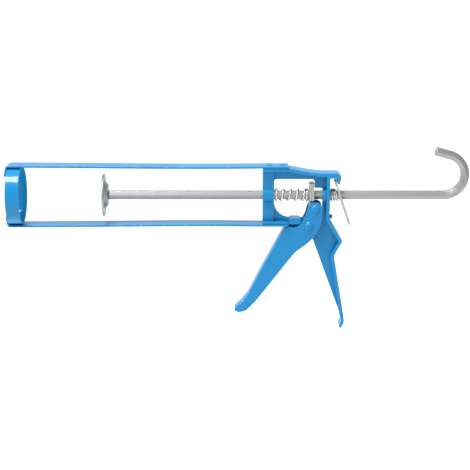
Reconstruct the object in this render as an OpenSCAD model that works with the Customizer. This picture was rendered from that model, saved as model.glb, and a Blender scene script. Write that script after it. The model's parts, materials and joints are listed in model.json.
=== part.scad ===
// Skeleton caulking gun: a cartridge cradle of a ring and two straps, a pressed handle frame,
// a trigger that pushes two gripping plates along a hexagonal rod, and a release lever.
// X runs along the rod from the ring's front face to the handle, and the rod's axis is X itself.

/* [Cartridge cradle] */
// Bore of the front ring, which holds the cartridge
ring_bore_d = 51; // [50:0.5:62]
// Wall of the front ring
ring_wall = 1.2; // [0.8:0.1:2.5]
// Length of the front ring along the rod
ring_length = 12; // [6:1:24]
// Distance from the ring's front face to the handle frame
cradle_length = 231; // [190:1:320]
// Width of the two straps
rail_w = 18.6; // [12:0.2:24]
// Thickness of the two straps
rail_t = 1.8; // [1.2:0.1:3]
// How far the top strap bows in towards the cartridge
top_bow = 0.6; // [0:0.05:0.6]
// How far the bottom strap bows in towards the cartridge
foot_bow = 0.6; // [0:0.05:0.6]
// How far each strap runs back over the handle frame
rail_lap = 23.5; // [19:0.1:23.5]
// How far the bent front tabs reach in from the ring's bore
tab_reach = 7; // [3:0.5:10]
// How far the tabs lean forward at their tips
tab_lean = 1.6; // [0:0.1:3]

/* [Handle frame] */
// Height of the frame's front, over its two flanges
frame_h = 52; // [50:0.5:62]
// Width of the frame over its flanges
frame_w = 17.6; // [15:0.2:20]
// Sheet thickness of the two pressed halves
sheet_t = 1.2; // [0.8:0.1:1.5]
// Height of the lip that is turned in all round the flange
lip_h = 3.1; // [2.4:0.1:4]
// Width of the front strap that carries the rod guide
strap_w = 10; // [6:0.2:10.2]
// How far the front strap is pressed out from the web
strap_rise = 3.4; // [2.6:0.1:5]
// Wall of the rod guides round their bore
guide_wall = 2.6; // [1.5:0.1:3]
// Diameter of the stop peg behind the frame
peg_d = 3.7; // [3:0.1:5]
// How far the stop peg stands out
peg_l = 2.9; // [2:0.1:4]

/* [Rod and plunger] */
// Hexagonal rod, across its flats
rod_af = 7.5; // [6:0.1:9]
// Running clearance round the rod's corners in its guides
rod_clear = 0.07; // [0.04:0.01:0.1]
// Distance from the ring's front face to the plunger's front face
plunger_x = 85.5; // [80:0.1:110]
// Outer diameter of the plunger disc
plunger_d = 39; // [34:0.2:46]
// Sheet thickness of the plunger disc
plunger_t = 1; // [0.8:0.1:2.5]
// Diameter of the plunger's coned hub at its foot
hub_d = 26.5; // [22:0.5:30]
// Height of the plunger's coned hub
hub_h = 4.8; // [4:0.1:5]
// Length of straight rod behind the handle frame, to the start of the hook
rod_tail = 104; // [90:0.5:130]
// Radius of the pull hook at the rod's centre line
hook_r = 18.8; // [16:0.1:26]
// Angle that the hook turns through
hook_turn = 165; // [120:1:180]
// Straight end of the hook
hook_end = 13.5; // [4:0.5:20]

/* [Trigger] */
// Sheet thickness of the trigger
trigger_t = 1.3; // [1:0.1:1.8]
// Width of the trigger over its two walls
trigger_w = 14.8; // [13:0.2:18]
// Diameter of the pivot rivet's shank
pivot_d = 5; // [4:0.2:6]
// Running clearance round the pivot rivet and the driver pin
pin_clear = 0.06; // [0.03:0.01:0.1]
// Diameter of the driver pin's shank
driver_d = 4.4; // [3.6:0.2:5]
// Wall of the roller on the driver pin
roller_wall = 1.4; // [1:0.1:2]
// Diameter of the domed rivet heads
head_d = 7.8; // [7:0.2:9]
// Height of the domed rivet heads
head_h = 1.9; // [1.4:0.1:2.5]

/* [Plates and springs] */
// Thickness of each drive plate
plate_t = 2.2; // [1.6:0.1:2.4]
// Width of the drive plates
plate_w = 14; // [12:0.2:14.4]
// Height of the drive plates above the rod's axis
plate_top = 11.6; // [10:0.1:13]
// Wire of both springs
wire_d = 1.5; // [0.8:0.1:1.6]
// Room between the rod's corners and the inside of both springs
spring_clear = 0.27; // [0.2:0.01:1]
// Open coils of the drive spring
drive_coils = 4; // [3:1:6]

/* [Release lever] */
// Thickness of the release lever
lever_t = 2; // [1.6:0.1:2.4]
// Width of the release lever
lever_w = 14; // [10:0.2:15]
// Lean of the release lever at rest, in degrees
lever_lean = 18.5; // [16:0.5:19]
// How far the release lever's tip reaches below the stop peg
lever_tip = 7.1; // [3:0.1:10]

/* [Hidden] */
$fn = 64;

PAINT = "#2f8fcf";
ZINC = "#c9c9c6";
STEEL = "#a9a9ac";

gap = 0.1;              // between pieces of one body that lie side by side
cut = 1;                // how far a cut runs past the face that it opens
ring_r = ring_bore_d / 2;
ring_out = ring_r + ring_wall;
flange_z = frame_h / 2;
depth = frame_w / 2;
foot_z = -flange_z;
rod_r = rod_af / sqrt(3);                // to the hexagon's corners
bore_r = rod_r + rod_clear;              // the guides' bore
guide_r = bore_r + guide_wall;
spring_out = rod_r + spring_clear + wire_d;

// The pieces' places along X
frame_x = cradle_length;
window_u = 10.4;                         // the window's front edge, from the frame's front
rear_u = 61;                             // the frame's vertical rear edge
rear_strap_w = 6.5;
step_u = rear_u - rear_strap_w;
pivot = [42.3, foot_z - 2.1];            // the trigger's pivot, from the frame's front
driver = [48.2, -12];                    // the driver pin, from the frame's front
arm = driver - pivot;
roller_r = driver_d / 2 + pin_clear + roller_wall;
trigger_in = trigger_w / 2 - trigger_t;  // the walls' inner faces, from the middle
nose_room = 0.4;                         // between the frame's nose and the trigger's walls
plate_rear_x = frame_x + driver.x - roller_r - gap;   // the front plate's rear face
plate_x = plate_rear_x - plate_t;

// The release lever turns at its head, in front of the tail's bent lip
head_room = 0.5;
tail_inner_u = 67.6;
tail_z = flange_z - 4.6;                 // the top of the frame's rear part
lever_pivot = [frame_x + tail_inner_u - lever_t / 2 - head_room, tail_z - 8.4];
lever_head = 1.2;                        // how far its head reaches above its pivot
peg_z = foot_z + 5.9;
lever_l = (lever_pivot.y - peg_z + lever_tip) / cos(lever_lean) + lever_head;

// Closed outlines are lists of [x, z, fillet radius, flanged edge to the next corner], clockwise.
body_outline = [
    [0, flange_z, 0, 1],
    [24.4, flange_z, 14, 1],
    [39.9, flange_z - 3, 30, 1],
    [51.9, tail_z, 30, 1],
    [rear_u, tail_z, 0, 1],
    [rear_u, foot_z + 5, 5, 1],
    [73.1, foot_z - 15.9, 2.2, 1],
    [65.5, foot_z - 29.6, 5, 1],
    [75.3, foot_z - 87, 8, 0],
    [67.9, foot_z - 87, 0, 0],
    [45.9, foot_z - 14.4, 3, 0],
    [38.4, foot_z - 11.2, 4, 0],
    [33.9, foot_z - 4, 3, 0],
    [29.9, foot_z, 1.5, 1],
    [0, foot_z, 0, 0]
];
web_outline = [
    [0, flange_z, 0, 1],
    [24.4, flange_z, 14, 1],
    [39.9, flange_z - 3, 30, 1],
    [51.9, tail_z, 30, 1],
    [rear_u, tail_z, 0, 1],
    [rear_u, foot_z + 5, 5, 1],
    [73.1, foot_z - 15.9, 2.2, 1],
    [65.5, foot_z - 29.6, 5, 1],
    [75.2, foot_z - 86, 8, 1],
    [76.1, foot_z - 93.4, 6, 1],
    [72.7, foot_z - 99.3, 1.5, 0],
    [71, foot_z - 97.2, 1.5, 0],
    [73.2, foot_z - 92, 5, 0],
    [70.9, foot_z - 82.6, 6, 0],
    [45.9, foot_z - 14.4, 3, 0],
    [38.4, foot_z - 11.2, 4, 0],
    [33.9, foot_z - 4, 3, 0],
    [29.9, foot_z, 1.5, 1],
    [0, foot_z, 0, 0]
];
tail_outline = [
    [step_u, tail_z, 0],
    [71.8, tail_z, 4.4],
    [69.8, tail_z - 9.9, 1.05],
    [tail_inner_u, tail_z - 9.9, 1.05],
    [tail_inner_u, tail_z - 4.6, 1.2],
    [rear_u, tail_z - 4.6, 1.2],
    [rear_u, tail_z - 7.4, 0],
    [step_u, tail_z - 7.4, 0]
];
window_outline = [
    [window_u, tail_z - 6.6, 2.4],
    [47.3, tail_z - 6.6, 2.4],
    [47.3, 6.7, 1.2],
    [step_u, 6.7, 1.2],
    [step_u, foot_z + 5.3, 2],
    [window_u, foot_z + 5.3, 14.8]
];
nose_outline = [
    [23.7, foot_z + 5.6, 2.5],
    [35.1, foot_z + 5.6, 2.7],
    [35.1, foot_z - 0.4, 2.7],
    [23.7, foot_z - 0.4, 0.6]
];
// The trigger's outline is measured from its pivot, and its flanged edges are the spine.
trigger_outline = [
    [-22, -0.4, 0, 0],
    [-18.2, 0, 2, 0],
    [-13.2, -1.6, 7, 0],
    [-8, 1.8, 6, 0],
    [-3.4, 9.8, 12, 0],
    [arm.x - 5.6, arm.y + 6.2, 6, 0],
    [arm.x + 6.2, arm.y + 6.2, 6, 0],
    [arm.x + 6.2, arm.y - 8.7, 14, 0],
    [10.4, -0.4, 16, 0],
    [3.6, -11.2, 14, 0],
    [-2.3, -16.8, 20, 0],
    [-12.4, -24.2, 20, 0],
    [-25, -40.4, 40, 0],
    [-48.4, -71, 30, 0],
    [-57.2, -79.9, 6, 0],
    [-63.6, -82.2, 0, 1],
    [-69.8, -79.8, 3.2, 1],
    [-62.8, -73.2, 14, 1],
    [-55.6, -64, 30, 1],
    [-41.9, -37.2, 90, 1]
];

// Geometry helpers
function unit(v) = v / norm(v);
function flat(p) = [p.x, p.y];
function turned(v, a) = [v.x * cos(a) - v.y * sin(a), v.x * sin(a) + v.y * cos(a)];
function at(list, i) = list[(i + len(list)) % len(list)];
arc_step = 11.5;        // the most degrees between the points of a rounded corner

// The points of one rounded corner, which is sharp at radius 0. A fillet is limited by the edges beside it.
function fillet(a, b, c, r) =
    r == 0 ? [b] :
    let (
        u = unit(a - b),
        v = unit(c - b),
        half = acos(max(-1, min(1, u * v))) / 2,
        tangent = min(r / tan(half), 0.48 * min(norm(a - b), norm(c - b))),
        radius = tangent * tan(half),
        centre = b + unit(u + v) * radius / sin(half),
        start = b + u * tangent - centre,
        side = sign(cross(start, b + v * tangent - centre)),
        steps = max(2, ceil((180 - 2 * half) / arc_step))
    )
    [for (k = [0 : steps]) centre + turned(start, side * (180 - 2 * half) * k / steps)];
function rounded(list) = [
    for (i = [0 : len(list) - 1])
        for (p = fillet(flat(at(list, i - 1)), flat(list[i]), flat(at(list, i + 1)), list[i].z))
            p
];

// A clockwise outline drawn in by d on its flanged edges and let out by spill on the others
function inward(a, b) = let (e = unit(b - a)) [e.y, -e.x];
function edge_shift(list, i, d, spill) = at(list, i)[3] == 1 ? d : -spill;
function drawn_in(list, d, spill) = [
    for (i = [0 : len(list) - 1])
        let (
            a = flat(at(list, i - 1)),
            b = flat(list[i]),
            c = flat(at(list, i + 1)),
            m = inward(a, b),
            n = inward(b, c),
            p = edge_shift(list, i - 1, d, spill),
            q = edge_shift(list, i, d, spill),
            det = cross(m, n),
            shift = abs(det) < 0.02 ? m * p : [(p * n.y - q * m.y) / det, (m.x * q - n.x * p) / det],
            r = list[i].z + (cross(b - a, c - b) > 0 ? d : -d)
        )
        [b.x + shift.x, b.y + shift.y, list[i].z == 0 ? 0 : max(0.4, r)]
];

// Draws a flat shape in the XZ plane and gives it thickness along Y
module across(y0, y1) {
    rotate([90, 0, 0])
        translate([0, 0, -y1])
            linear_extrude(y1 - y0)
                children();
}
module outline(list) {
    polygon(rounded(list));
}
module bar_y(x, z, r, y0, y1) {
    translate([x, y1, z])
        rotate([90, 0, 0])
            cylinder(r = r, h = y1 - y0);
}
module bar_x(r, x0, x1) {
    translate([x0, 0, 0])
        rotate([0, 90, 0])
            cylinder(r = r, h = x1 - x0);
}
module hex_bar(x0, x1, slimmer = 0) {
    translate([x0, 0, 0])
        rotate([0, 90, 0])
            rotate([0, 0, 90])
                cylinder(r = rod_r - slimmer, h = x1 - x0, $fn = 6);
}
// A low dome on the plane z = 0, as a cap of a sphere
module dome(d, h) {
    ball = (d * d / 4 + h * h) / (2 * h);
    intersection() {
        translate([0, 0, h - ball])
            sphere(r = ball);
        cylinder(r = d / 2, h = h + cut);
    }
}

// Front ring
module nose_ring() {
    color(PAINT)
        difference() {
            bar_x(ring_out, 0, ring_length);
            bar_x(ring_r, -cut, ring_length + cut);
        }
}

// One strap: a gentle bow from the ring to the frame, and a front tab bent in over the ring
rail_steps = 20;
tab_bend = 3;
bow_late = 1.7;         // above 1, the bow is deepest nearer the frame
function rail_z(x, bow) =
    let (t = max(0, x - ring_length) / (frame_x - ring_length))
    ring_out + (flange_z - ring_out) * t - bow * sin(180 * pow(t, bow_late));
module rail(bow) {
    inner = [for (k = [0 : rail_steps])
        let (x = ring_length + (frame_x - ring_length) * k / rail_steps) [x, rail_z(x, bow)]];
    outer = [for (p = inner) [p.x, p.y + rail_t]];
    bend_in = tab_bend - rail_t;
    bend_x = -gap + bend_in;
    bend_z = ring_out - bend_in;
    lean = atan(tab_lean / (tab_reach + ring_wall));
    bends = [for (a = [0 : 15 : 90]) a - lean * a / 90];
    tip = bend_z - (ring_r - tab_reach);
    across(-rail_w / 2, rail_w / 2)
        polygon(concat(
            [for (a = bends) [bend_x - tab_bend * sin(a), bend_z + tab_bend * cos(a)]],
            [[bend_x - tab_bend - tip * tan(lean), ring_r - tab_reach]],
            [[bend_x - bend_in - gap - tip * tan(lean), ring_r - tab_reach]],
            [for (k = [len(bends) - 1 : -1 : 0])
                [bend_x - bend_in * sin(bends[k]), bend_z + bend_in * cos(bends[k])]],
            inner,
            [[frame_x + rail_lap, flange_z], [frame_x + rail_lap, flange_z + rail_t]],
            [for (k = [len(outer) - 1 : -1 : 0]) outer[k]]
        ));
}
top_rivet_u = [6.1, 17.8];
foot_rivet_u = [4.9, 13.1];
rivet_r = 1.7;
rivet_head_r = 3.3;
rivet_head_h = 1.1;
upset = 0.8;            // how far an upset head stands out round its shank
module rail_drilled(rivet_u, bow) {
    difference() {
        rail(bow);
        for (u = rivet_u)
            translate([frame_x + u, 0, flange_z - cut])
                cylinder(r = rivet_r, h = rail_t + 2 * cut);
    }
}
module top_rail() {
    color(PAINT)
        rail_drilled(top_rivet_u, top_bow);
}
module bottom_rail() {
    color(PAINT)
        mirror([0, 0, 1])
            rail_drilled(foot_rivet_u, foot_bow);
}

// Rail rivets: a low head outside the strap and an upset head inside the flange
module rail_rivets(rivet_u) {
    for (u = rivet_u)
        translate([frame_x + u, 0, 0]) {
            translate([0, 0, flange_z + rail_t])
                dome(2 * rivet_head_r, rivet_head_h);
            translate([0, 0, flange_z - sheet_t])
                cylinder(r = rivet_r, h = sheet_t + rail_t);
            translate([0, 0, flange_z - sheet_t - rivet_head_h])
                cylinder(r = rivet_r + upset, h = rivet_head_h);
        }
}
module top_rail_rivets() {
    color(PAINT)
        rail_rivets(top_rivet_u);
}
module bottom_rail_rivets() {
    color(PAINT)
        mirror([0, 0, 1])
            rail_rivets(foot_rivet_u);
}

// One pressed half of the handle frame, on the +Y side of the joint
strap_foot = 3.2;       // solid ends of the front strap, beside the flanges
module frame_half() {
    difference() {
        union() {
            difference() {
                translate([frame_x, 0, 0])
                    union() {
                        across(0, depth)
                            outline(web_outline);
                        across(0, depth)
                            outline(tail_outline);
                    }
                translate([frame_x, 0, 0]) {
                    across(sheet_t, depth - sheet_t)
                        outline(drawn_in(body_outline, sheet_t, 4));
                    across(sheet_t, depth + cut)
                        outline(drawn_in(body_outline, lip_h, 4));
                    across(sheet_t, depth - sheet_t)
                        polygon([
                            [rear_u - cut, tail_z - sheet_t],
                            [tail_inner_u + 2.5, tail_z - sheet_t],
                            [tail_inner_u + sheet_t, tail_z - 11.4],
                            [rear_u - cut, tail_z - 11.4]
                        ]);
                }
                translate([frame_x, -cut, 0])
                    across(0, depth + 2 * cut)
                        outline(window_outline);
            }
            strap();
            half_guide(frame_x, frame_x + strap_w);
            half_guide(frame_x + step_u, frame_x + rear_u);
            translate([frame_x, 0, 0])
                across(0, trigger_in - nose_room)
                    outline(nose_outline);
        }
        bar_x(bore_r, frame_x - cut, frame_x + rear_u + cut);
        bar_y(frame_x + pivot.x, pivot.y, pivot_d / 2 + pin_clear, -cut, depth);
        rivet_cuts(top_rivet_u);
        mirror([0, 0, 1])
            rivet_cuts(foot_rivet_u);
        translate([frame_x + rear_u, 0, peg_z])
            rotate([0, 90, 0])
                cylinder(r = peg_neck_r, h = 2 * sheet_t + cut, center = true);
        translate([frame_x + rear_u, 0, peg_z])
            rotate([0, 90, 0])
                cylinder(r = peg_d / 2 + gap / 2, h = peg_l + cut);
        translate([frame_x + rear_u - sheet_t - peg_head_h - gap, 0, peg_z])
            rotate([0, 90, 0])
                cylinder(r = peg_neck_r + upset + gap, h = peg_head_h + gap);
    }
}
// Holes for the rivets in the top flange, and room under it for their upset heads
module rivet_cuts(rivet_u) {
    for (u = rivet_u)
        translate([frame_x + u, 0, flange_z - sheet_t]) {
            cylinder(r = rivet_r, h = sheet_t + cut);
            translate([0, 0, -rivet_head_h - gap])
                cylinder(r = rivet_r + upset + gap, h = rivet_head_h + gap);
        }
}
// The pressed-out front strap, hollow behind
module strap() {
    inside = strap_rise - sheet_t;
    z_top = flange_z - sheet_t;
    translate([frame_x, 0, 0])
        difference() {
            translate([0, 0, -z_top])
                cube([strap_w, strap_rise, 2 * z_top]);
            translate([sheet_t, -cut, -z_top + strap_foot])
                cube([strap_w - 2 * sheet_t, inside + cut, 2 * z_top - 2 * strap_foot]);
        }
}
module half_guide(x0, x1) {
    intersection() {
        bar_x(guide_r, x0, x1);
        translate([x0 - cut, 0, -guide_r])
            cube([x1 - x0 + 2 * cut, guide_r + cut, 2 * guide_r]);
    }
}
module frame_half_left() {
    color(PAINT)
        mirror([0, 1, 0])
            frame_half();
}
module frame_half_right() {
    color(PAINT)
        frame_half();
}

// Stop peg for the release lever, riveted through the rear flange
peg_neck_r = 1.2;
peg_head_h = 0.9;
module stop_peg() {
    color(PAINT)
        translate([frame_x + rear_u, 0, peg_z])
            rotate([0, 90, 0]) {
                cylinder(r = peg_d / 2, h = peg_l);
                translate([0, 0, -sheet_t])
                    cylinder(r = peg_neck_r, h = sheet_t);
                translate([0, 0, -sheet_t - peg_head_h])
                    cylinder(r = peg_neck_r + upset, h = peg_head_h);
            }
}

// Trigger: a channel whose spine is the front edge and whose walls straddle the frame
module trigger() {
    color(PAINT)
        difference() {
            translate([frame_x + pivot.x, 0, pivot.y])
                difference() {
                    across(-trigger_w / 2, trigger_w / 2)
                        outline(trigger_outline);
                    across(-trigger_in, trigger_in)
                        outline(drawn_in(trigger_outline, trigger_t, 6));
                }
            bar_y(frame_x + pivot.x, pivot.y, pivot_d / 2, -trigger_w, trigger_w);
            bar_y(frame_x + driver.x, driver.y, driver_d / 2, -trigger_w, trigger_w);
        }
}
// A shank across the trigger with a dome at each end
module headed_pin(p, d) {
    bar_y(frame_x + p.x, p.y, d / 2, -trigger_w / 2, trigger_w / 2);
    for (side = [-1, 1])
        translate([frame_x + p.x, side * trigger_w / 2, p.y])
            rotate([-90 * side, 0, 0])
                dome(head_d, head_h);
}
module trigger_pivot_rivet() {
    color(PAINT)
        headed_pin(pivot, pivot_d);
}
module driver_pin() {
    color(PAINT)
        headed_pin(driver, driver_d);
}
spacer_wall = 1.6;
module pivot_spacers() {
    color(ZINC)
        for (side = [0, 1])
            mirror([0, side, 0])
                difference() {
                    bar_y(frame_x + pivot.x, pivot.y, pivot_d / 2 + spacer_wall,
                        sheet_t + gap, trigger_in - gap);
                    bar_y(frame_x + pivot.x, pivot.y, pivot_d / 2 + pin_clear, 0, depth);
                }
}
module driver_roller() {
    color(ZINC)
        difference() {
            bar_y(frame_x + driver.x, driver.y, roller_r, -trigger_in + gap, trigger_in - gap);
            bar_y(frame_x + driver.x, driver.y, driver_d / 2 + pin_clear, -depth, depth);
        }
}

// Drive plates, a little free on the rod. The front one has a tail that the roller pushes,
// and the rear one stops above it.
plate_play = 0.12;
plate_shoulder = driver.y + 7.7;
tail_w = 2 * (trigger_in - 1.4);          // the tail hangs between the trigger's walls
module drive_plate(x, foot) {
    hole_r = bore_r + plate_play;
    translate([x, 0, 0])
        rotate([90, 0, 90])
            linear_extrude(plate_t)
                difference() {
                    polygon(rounded([
                        [-plate_w / 2, plate_shoulder, 0.8],
                        [-plate_w / 2, plate_top, 2.4],
                        [plate_w / 2, plate_top, 2.4],
                        [plate_w / 2, plate_shoulder, 0.8],
                        [tail_w / 2, plate_shoulder - 1.2, 0.8],
                        [tail_w / 2, foot, 1.4],
                        [-tail_w / 2, foot, 1.4],
                        [-tail_w / 2, plate_shoulder - 1.2, 0.8]
                    ]));
                    circle(r = hole_r);
                }
}
module drive_plate_front() {
    color(ZINC)
        drive_plate(plate_x, driver.y - 1.8);
}
module drive_plate_rear() {
    color(ZINC)
        drive_plate(plate_rear_x + gap, driver.y + roller_r + 1.5);
}

// A coil spring along X as one swept tube: turns are closed at both ends and open between them.
// The far end can lean by the given slope, to lie flat on a leaning plate.
wire_sides = 8;
coil_sides = 20;
module coil(x0, x1, open_turns, closed_start, closed_end, slope = 0) {
    r = spring_out - wire_d / 2;
    first = x0 + wire_d / 2;
    last = x1 - wire_d / 2;
    tight = wire_d * 1.02;
    pitch = (last - first - tight * (closed_start + closed_end)) / open_turns;
    turns = closed_start + open_turns + closed_end;
    rings = ceil(turns * coil_sides);
    // Distance along the axis after t turns
    travel = function(t)
        tight * min(t, closed_start)
        + pitch * max(0, min(t - closed_start, open_turns))
        + tight * max(0, t - closed_start - open_turns);
    points = [
        for (k = [0 : rings])
            let (t = turns * k / rings, a = 360 * t)
            for (s = [0 : wire_sides - 1])
                let (
                    b = 360 * s / wire_sides,
                    rr = r + wire_d / 2 * cos(b)
                )
                [first + travel(t) * (1 - slope * rr * cos(a) / (last - first)) + wire_d / 2 * sin(b),
                    rr * sin(a), rr * cos(a)]
    ];
    sides = [
        for (k = [0 : rings - 1])
            for (s = [0 : wire_sides - 1])
                let (
                    p = k * wire_sides + s,
                    q = k * wire_sides + (s + 1) % wire_sides
                )
                [p, p + wire_sides, q + wire_sides, q]
    ];
    caps = [
        [for (s = [0 : wire_sides - 1]) s],
        [for (s = [wire_sides - 1 : -1 : 0]) rings * wire_sides + s]
    ];
    polyhedron(points, concat(sides, caps), convexity = 10);
}
module drive_spring() {
    color(ZINC)
        coil(frame_x + window_u + gap, plate_x - gap, drive_coils, 1, 1.5);
}

// Release lever: a flat plate that leans back from the tail's lip, slotted for the rod
function lever_s(z) = (lever_pivot.y - z) / cos(lever_lean);
module release_lever() {
    play = 0.55;        // along the slot, above and below the rod
    side_play = 0.2;
    slot_top = (lever_pivot.y - rod_af / 2) - play;
    slot_foot = lever_s(-rod_af / 2) + lever_t / 2 * tan(lever_lean) + play;
    color(ZINC)
        translate([lever_pivot.x, 0, lever_pivot.y])
            rotate([0, -lever_lean, 0])
                translate([-lever_t / 2, 0, 0])
                    rotate([90, 0, 90])
                        linear_extrude(lever_t)
                            difference() {
                                polygon(rounded([
                                    [-lever_w / 2 + 1.6, lever_head, 1.2],
                                    [lever_w / 2 - 1.6, lever_head, 1.2],
                                    [lever_w / 2 - 1.6, -4, 1],
                                    [lever_w / 2, -5.4, 1],
                                    [lever_w / 2, lever_head - lever_l, 3],
                                    [-lever_w / 2, lever_head - lever_l, 3],
                                    [-lever_w / 2, -5.4, 1],
                                    [-lever_w / 2 + 1.6, -4, 1]
                                ]));
                                polygon(rounded([
                                    [-bore_r - side_play, -slot_top, 1.2],
                                    [bore_r + side_play, -slot_top, 1.2],
                                    [bore_r + side_play, -slot_foot, 1.2],
                                    [-bore_r - side_play, -slot_foot, 1.2]
                                ]));
                            }
}
lever_front_x = lever_pivot.x + lever_pivot.y * tan(lever_lean) - lever_t / 2 / cos(lever_lean);
module release_spring() {
    color(ZINC)
        coil(frame_x + rear_u + gap, lever_front_x - 2 * gap, 1.5, 0.75, 0.75, tan(lever_lean));
}

// Rod with its pull hook and its turned-down front end
neck_r = 3;
neck_clear = 0.05;
peen_r = neck_r + 1.1;
peen_h = 1.5;
sunk = 0.06;            // how much slimmer the hook's straight end is, so that it sinks into the bend
hub_top_x = plunger_x + hub_h;
shoulder_x = hub_top_x + gap;
bend_x = frame_x + rear_u + rod_tail;
washer_t = 1.3;
module push_rod() {
    color(STEEL)
        union() {
            hex_bar(shoulder_x, bend_x);
            bar_x(neck_r, washer_x, shoulder_x + cut);
            translate([washer_x, 0, 0])
                rotate([0, -90, 0])
                    dome(2 * peen_r, peen_h);
            translate([bend_x, 0, hook_r])
                rotate([90, 0, 0])
                    rotate([0, 0, -90])
                        rotate_extrude(angle = hook_turn, $fn = 96)
                            translate([hook_r, 0])
                                rotate(30)
                                    circle(r = rod_r, $fn = 6);
            translate([bend_x, 0, hook_r])
                rotate([0, -hook_turn, 0])
                    translate([0, 0, -hook_r])
                        hex_bar(-cut, hook_end, sunk);
        }
}
// The washer and peened end lie in the hollow of the hub
washer_x = hub_top_x - plunger_t - washer_t - gap;
washer_r = neck_r + 3;
module rod_end_washer() {
    color(ZINC)
        difference() {
            bar_x(washer_r, washer_x, washer_x + washer_t);
            bar_x(neck_r + neck_clear, washer_x - cut, washer_x + washer_t + cut);
        }
}

// Plunger: a flat pressed disc with a rolled rim and a coned hub
module plunger_disc() {
    r = plunger_d / 2;
    foot = hub_d / 2;
    rim = 0.4;          // how far the disc's edge stands up behind it
    crown = neck_r + 6.4;
    color(ZINC)
        rotate([0, 90, 0])
            rotate_extrude($fn = 96)
                polygon([
                    [neck_r + neck_clear, hub_top_x],
                    [crown + plunger_t * 0.4, hub_top_x],
                    [foot + plunger_t * 0.4, plunger_x + plunger_t],
                    [r - rim - plunger_t, plunger_x + plunger_t],
                    [r - plunger_t, plunger_x + plunger_t + rim],
                    [r, plunger_x + plunger_t + rim],
                    [r, plunger_x + plunger_t],
                    [r - 0.5 * plunger_t, plunger_x],
                    [foot - plunger_t * 0.4, plunger_x],
                    [crown - plunger_t * 0.4, hub_top_x - plunger_t],
                    [neck_r + neck_clear, hub_top_x - plunger_t]
                ]);
}

nose_ring();
top_rail();
bottom_rail();
frame_half_left();
frame_half_right();
top_rail_rivets();
bottom_rail_rivets();
stop_peg();
trigger();
trigger_pivot_rivet();
pivot_spacers();
driver_pin();
driver_roller();
drive_plate_front();
drive_plate_rear();
drive_spring();
release_lever();
release_spring();
push_rod();
plunger_disc();
rod_end_washer();
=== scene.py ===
import json
import math

import bmesh
import bpy
from bpy.props import FloatProperty, FloatVectorProperty, IntProperty, PointerProperty
from bpy.types import Operator, Panel, PropertyGroup
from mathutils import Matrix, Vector


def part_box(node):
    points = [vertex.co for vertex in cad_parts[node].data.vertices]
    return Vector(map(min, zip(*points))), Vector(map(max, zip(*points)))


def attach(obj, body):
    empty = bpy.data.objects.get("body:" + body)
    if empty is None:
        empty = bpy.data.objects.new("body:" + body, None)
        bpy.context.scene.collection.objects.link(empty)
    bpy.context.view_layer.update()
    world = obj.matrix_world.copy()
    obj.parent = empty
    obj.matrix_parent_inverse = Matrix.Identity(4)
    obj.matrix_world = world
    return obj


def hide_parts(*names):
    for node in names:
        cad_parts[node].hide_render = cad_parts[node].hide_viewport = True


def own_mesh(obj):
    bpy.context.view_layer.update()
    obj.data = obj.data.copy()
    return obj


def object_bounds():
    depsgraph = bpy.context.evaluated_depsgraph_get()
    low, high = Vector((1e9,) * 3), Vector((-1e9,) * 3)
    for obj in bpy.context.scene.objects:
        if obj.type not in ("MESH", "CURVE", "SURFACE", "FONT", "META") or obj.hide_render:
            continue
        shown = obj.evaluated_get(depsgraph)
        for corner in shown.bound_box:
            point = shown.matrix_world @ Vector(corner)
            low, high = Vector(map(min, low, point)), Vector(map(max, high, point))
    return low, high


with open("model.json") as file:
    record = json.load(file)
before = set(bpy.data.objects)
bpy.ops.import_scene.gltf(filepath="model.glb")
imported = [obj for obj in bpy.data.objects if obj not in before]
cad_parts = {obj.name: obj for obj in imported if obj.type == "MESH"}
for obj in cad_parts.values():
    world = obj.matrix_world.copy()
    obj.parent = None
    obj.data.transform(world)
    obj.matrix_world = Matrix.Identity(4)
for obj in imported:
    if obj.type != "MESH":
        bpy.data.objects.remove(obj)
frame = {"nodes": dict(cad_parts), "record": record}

bl_info = {
    "name": "Caulking gun",
    "version": (1, 0, 0),
    "blender": (4, 5, 0),
    "location": "View3D > Sidebar > Caulking gun",
    "description": "Finishes a caulking gun: pressed blue steel, zinc plates, springs and a hexagonal rod",
    "category": "Object",
}

CAD_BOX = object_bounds()
MM = 0.001


# ---------------------------------------------------------------- frame facts

def low(node):
    """A CAD node's lowest corner, in metres."""
    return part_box(node)[0]


def high(node):
    """A CAD node's highest corner, in metres."""
    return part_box(node)[1]


def middle(node):
    """The middle of a CAD node's box."""
    return (low(node) + high(node)) / 2


def span(node):
    """A CAD node's size along X, Y and Z."""
    return high(node) - low(node)


def body_holding(node):
    """The name of the body that a CAD node belongs to."""
    for body, nodes in frame["record"]["behaviour"]["bodies"].items():
        if node in nodes:
            return body
    raise ValueError(f"no body holds {node}")


def slot_of(node):
    """The record's material slot of a CAD node."""
    return next(s["material_slot"] for s in frame["record"]["subparts"] if s["node"] == node)


# ------------------------------------------------------------------- settings

def length(name, description, default):
    """A size in metres that a user may change."""
    return FloatProperty(name=name, description=description, default=default, min=0.0,
                         unit="LENGTH", subtype="DISTANCE", precision=5)


def share(name, description, default):
    """A share between 0 and 1 that a user may change."""
    return FloatProperty(name=name, description=description, default=default, min=0.0, max=1.0,
                         subtype="FACTOR")


def colour(name, description, default):
    """A colour that a user may change."""
    return FloatVectorProperty(name=name, description=description, default=default, size=4,
                               subtype="COLOR", min=0.0, max=1.0)


class GunPaintSettings(PropertyGroup):
    """The gloss paint on the pressed parts."""
    body: colour("Paint", "Colour of the gloss paint", (0.003, 0.172, 0.385, 1.0))
    thin: colour("Thin paint", "Colour of the paint where it is thin on an edge", (0.03, 0.27, 0.54, 1.0))
    shade: colour("Deep paint", "Colour of the paint where it pools", (0.002, 0.125, 0.31, 1.0))
    roughness: share("Roughness", "Roughness of the paint", 0.30)
    peel: length("Orange peel", "Depth of the paint's fine waves", 0.00002)


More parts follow.
